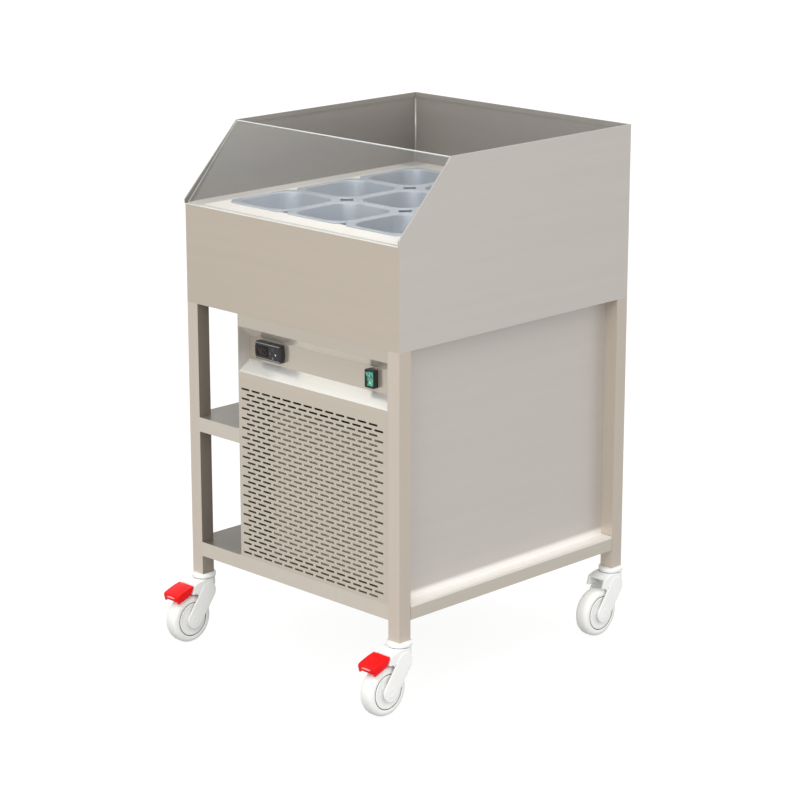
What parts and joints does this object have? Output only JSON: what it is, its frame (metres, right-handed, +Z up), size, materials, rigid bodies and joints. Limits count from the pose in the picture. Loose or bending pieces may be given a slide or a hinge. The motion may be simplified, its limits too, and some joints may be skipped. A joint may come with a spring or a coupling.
{
  "type": "mobile salad bar",
  "caption": "Wheeled stainless salad bar with lift-out pans in a cold well, a sloped clear screen, side storage shelves and a grilled cooling unit.",
  "frame": {"origin": "on the floor, under the centre of the whole trolley's bounding box", "axes": "+Z up, -Y towards the front with the screen and controls, +X to the right seen from the front"},
  "size_m": [0.62, 0.7399, 1.062],
  "materials": {
    "body_steel": "brushed stainless",
    "leg_steel": "satin square tube",
    "shelf_steel": "satin stainless",
    "casing_steel": "brushed stainless",
    "deck_steel": "satin stainless",
    "bar_plastic": "matte dark strip",
    "pan_steel": "satin pressed stainless",
    "insulation": "cut foam board",
    "copper": "drawn tube",
    "clear_screen": "polished clear sheet",
    "fin_aluminium": "bare fins",
    "dark_steel": "satin black enamel",
    "fan_plastic": "moulded",
    "black_plastic": "fine-textured moulding",
    "button_rubber": "matte",
    "rocker_green": "clear gloss",
    "castor_plastic": "satin moulding",
    "castor_fitting": "satin moulding",
    "tyre_rubber": "pale non-marking tread",
    "axle_steel": "zinc plated",
    "pedal_red": "satin moulding"
  },
  "bodies": {
    "frame": {"front_panel": "body_steel", "left_side_panel": "body_steel", "right_side_panel": "body_steel", "back_panel": "body_steel", "leg_front_left": "leg_steel", "leg_front_right": "leg_steel", "leg_back_left": "leg_steel", "leg_back_right": "leg_steel", "bottom_shelf": "shelf_steel", "middle_shelf": "shelf_steel", "unit_left_wall": "casing_steel", "unit_right_panel": "casing_steel", "unit_back_panel": "casing_steel", "control_fascia": "casing_steel", "grille_panel": "casing_steel", "deck": "deck_steel", "well_liner": "deck_steel", "pan_bars": "bar_plastic", "well_insulation": "insulation", "cooling_coil": "copper", "refrigerant_pipes": "copper", "glass_screen": "clear_screen", "condenser": "fin_aluminium", "fan_shroud": "dark_steel", "fan_motor": "dark_steel", "compressor": "dark_steel", "controller_body": "black_plastic", "switch_frame": "black_plastic", "cord_gland": "black_plastic", "castor_mounts": "castor_fitting"},
    "castor_front_left": {"fork_front_left": "castor_plastic", "axle_front_left": "axle_steel"},
    "wheel_front_left": {"wheel_front_left": "tyre_rubber"},
    "castor_front_right": {"fork_front_right": "castor_plastic", "axle_front_right": "axle_steel"},
    "wheel_front_right": {"wheel_front_right": "tyre_rubber"},
    "castor_back_left": {"fork_back_left": "castor_plastic", "axle_back_left": "axle_steel"},
    "wheel_back_left": {"wheel_back_left": "tyre_rubber"},
    "castor_back_right": {"fork_back_right": "castor_plastic", "axle_back_right": "axle_steel"},
    "wheel_back_right": {"wheel_back_right": "tyre_rubber"},
    "pedal_front_left": {"pedal_front_left": "pedal_red"},
    "pedal_front_right": {"pedal_front_right": "pedal_red"},
    "pan_front_left": {"pan_front_left": "pan_steel"},
    "pan_front_middle": {"pan_front_middle": "pan_steel"},
    "pan_front_right": {"pan_front_right": "pan_steel"},
    "pan_middle_left": {"pan_middle_left": "pan_steel"},
    "pan_centre": {"pan_centre": "pan_steel"},
    "pan_middle_right": {"pan_middle_right": "pan_steel"},
    "pan_back_left": {"pan_back_left": "pan_steel"},
    "pan_back_middle": {"pan_back_middle": "pan_steel"},
    "pan_back_right": {"pan_back_right": "pan_steel"},
    "fan": {"fan_blades": "fan_plastic"},
    "rocker": {"switch_rocker": "rocker_green"},
    "button_up": {"button_up": "button_rubber"},
    "button_down": {"button_down": "button_rubber"},
    "button_left": {"button_left": "button_rubber"},
    "button_right": {"button_right": "button_rubber"}
  },
  "joints": [
    {"name": "swivel_front_left", "type": "hinge", "parent": "frame", "child": "castor_front_left", "pos_m": [-0.285, -0.275, 0.117], "axis": [0, 0, 1], "continuous": true},
    {"name": "roll_front_left", "type": "hinge", "parent": "castor_front_left", "child": "wheel_front_left", "pos_m": [-0.285, -0.32, 0.05], "axis": [1, 0, 0], "continuous": true},
    {"name": "swivel_front_right", "type": "hinge", "parent": "frame", "child": "castor_front_right", "pos_m": [0.285, -0.275, 0.117], "axis": [0, 0, 1], "continuous": true},
    {"name": "roll_front_right", "type": "hinge", "parent": "castor_front_right", "child": "wheel_front_right", "pos_m": [0.285, -0.32, 0.05], "axis": [1, 0, 0], "continuous": true},
    {"name": "swivel_back_left", "type": "hinge", "parent": "frame", "child": "castor_back_left", "pos_m": [-0.285, 0.345, 0.117], "axis": [0, 0, 1], "continuous": true},
    {"name": "roll_back_left", "type": "hinge", "parent": "castor_back_left", "child": "wheel_back_left", "pos_m": [-0.285, 0.3, 0.05], "axis": [1, 0, 0], "continuous": true},
    {"name": "swivel_back_right", "type": "hinge", "parent": "frame", "child": "castor_back_right", "pos_m": [0.285, 0.345, 0.117], "axis": [0, 0, 1], "continuous": true},
    {"name": "roll_back_right", "type": "hinge", "parent": "castor_back_right", "child": "wheel_back_right", "pos_m": [0.285, 0.3, 0.05], "axis": [1, 0, 0], "continuous": true},
    {"name": "brake_front_left", "type": "hinge", "parent": "castor_front_left", "child": "pedal_front_left", "pos_m": [-0.285, -0.304, 0.1187], "axis": [1, 0, 0], "range_deg": [0, 12]},
    {"name": "brake_front_right", "type": "hinge", "parent": "castor_front_right", "child": "pedal_front_right", "pos_m": [0.285, -0.304, 0.1187], "axis": [1, 0, 0], "range_deg": [0, 12]},
    {"name": "lift_front_left", "type": "slide", "parent": "frame", "child": "pan_front_left", "axis": [0, 0, 1], "range_m": [0, 0.054]},
    {"name": "lift_front_middle", "type": "slide", "parent": "frame", "child": "pan_front_middle", "axis": [0, 0, 1], "range_m": [0, 0.054]},
    {"name": "lift_front_right", "type": "slide", "parent": "frame", "child": "pan_front_right", "axis": [0, 0, 1], "range_m": [0, 0.054]},
    {"name": "lift_middle_left", "type": "slide", "parent": "frame", "child": "pan_middle_left", "axis": [0, 0, 1], "range_m": [0, 0.31]},
    {"name": "lift_centre", "type": "slide", "parent": "frame", "child": "pan_centre", "axis": [0, 0, 1], "range_m": [0, 0.31]},
    {"name": "lift_middle_right", "type": "slide", "parent": "frame", "child": "pan_middle_right", "axis": [0, 0, 1], "range_m": [0, 0.31]},
    {"name": "lift_back_left", "type": "slide", "parent": "frame", "child": "pan_back_left", "axis": [0, 0, 1], "range_m": [0, 0.31]},
    {"name": "lift_back_middle", "type": "slide", "parent": "frame", "child": "pan_back_middle", "axis": [0, 0, 1], "range_m": [0, 0.31]},
    {"name": "lift_back_right", "type": "slide", "parent": "frame", "child": "pan_back_right", "axis": [0, 0, 1], "range_m": [0, 0.31]},
    {"name": "fan_spin", "type": "hinge", "parent": "frame", "child": "fan", "pos_m": [0.06, -0.194, 0.37], "axis": [0, 1, 0], "continuous": true},
    {"name": "switch_rock", "type": "hinge", "parent": "frame", "child": "rocker", "pos_m": [0.201, -0.263, 0.64], "axis": [-1, 0, 0], "range_deg": [0, 16]},
    {"name": "press_up", "type": "slide", "parent": "frame", "child": "button_up", "axis": [0, 1, 0], "range_m": [0, 0.0008], "stiffness_N_per_m": 500, "springref_m": -0.0006},
    {"name": "press_down", "type": "slide", "parent": "frame", "child": "button_down", "axis": [0, 1, 0], "range_m": [0, 0.0008], "stiffness_N_per_m": 500, "springref_m": -0.0006},
    {"name": "press_left", "type": "slide", "parent": "frame", "child": "button_left", "axis": [0, 1, 0], "range_m": [0, 0.0008], "stiffness_N_per_m": 500, "springref_m": -0.0006},
    {"name": "press_right", "type": "slide", "parent": "frame", "child": "button_right", "axis": [0, 1, 0], "range_m": [0, 0.0008], "stiffness_N_per_m": 500, "springref_m": -0.0006}
  ]
}
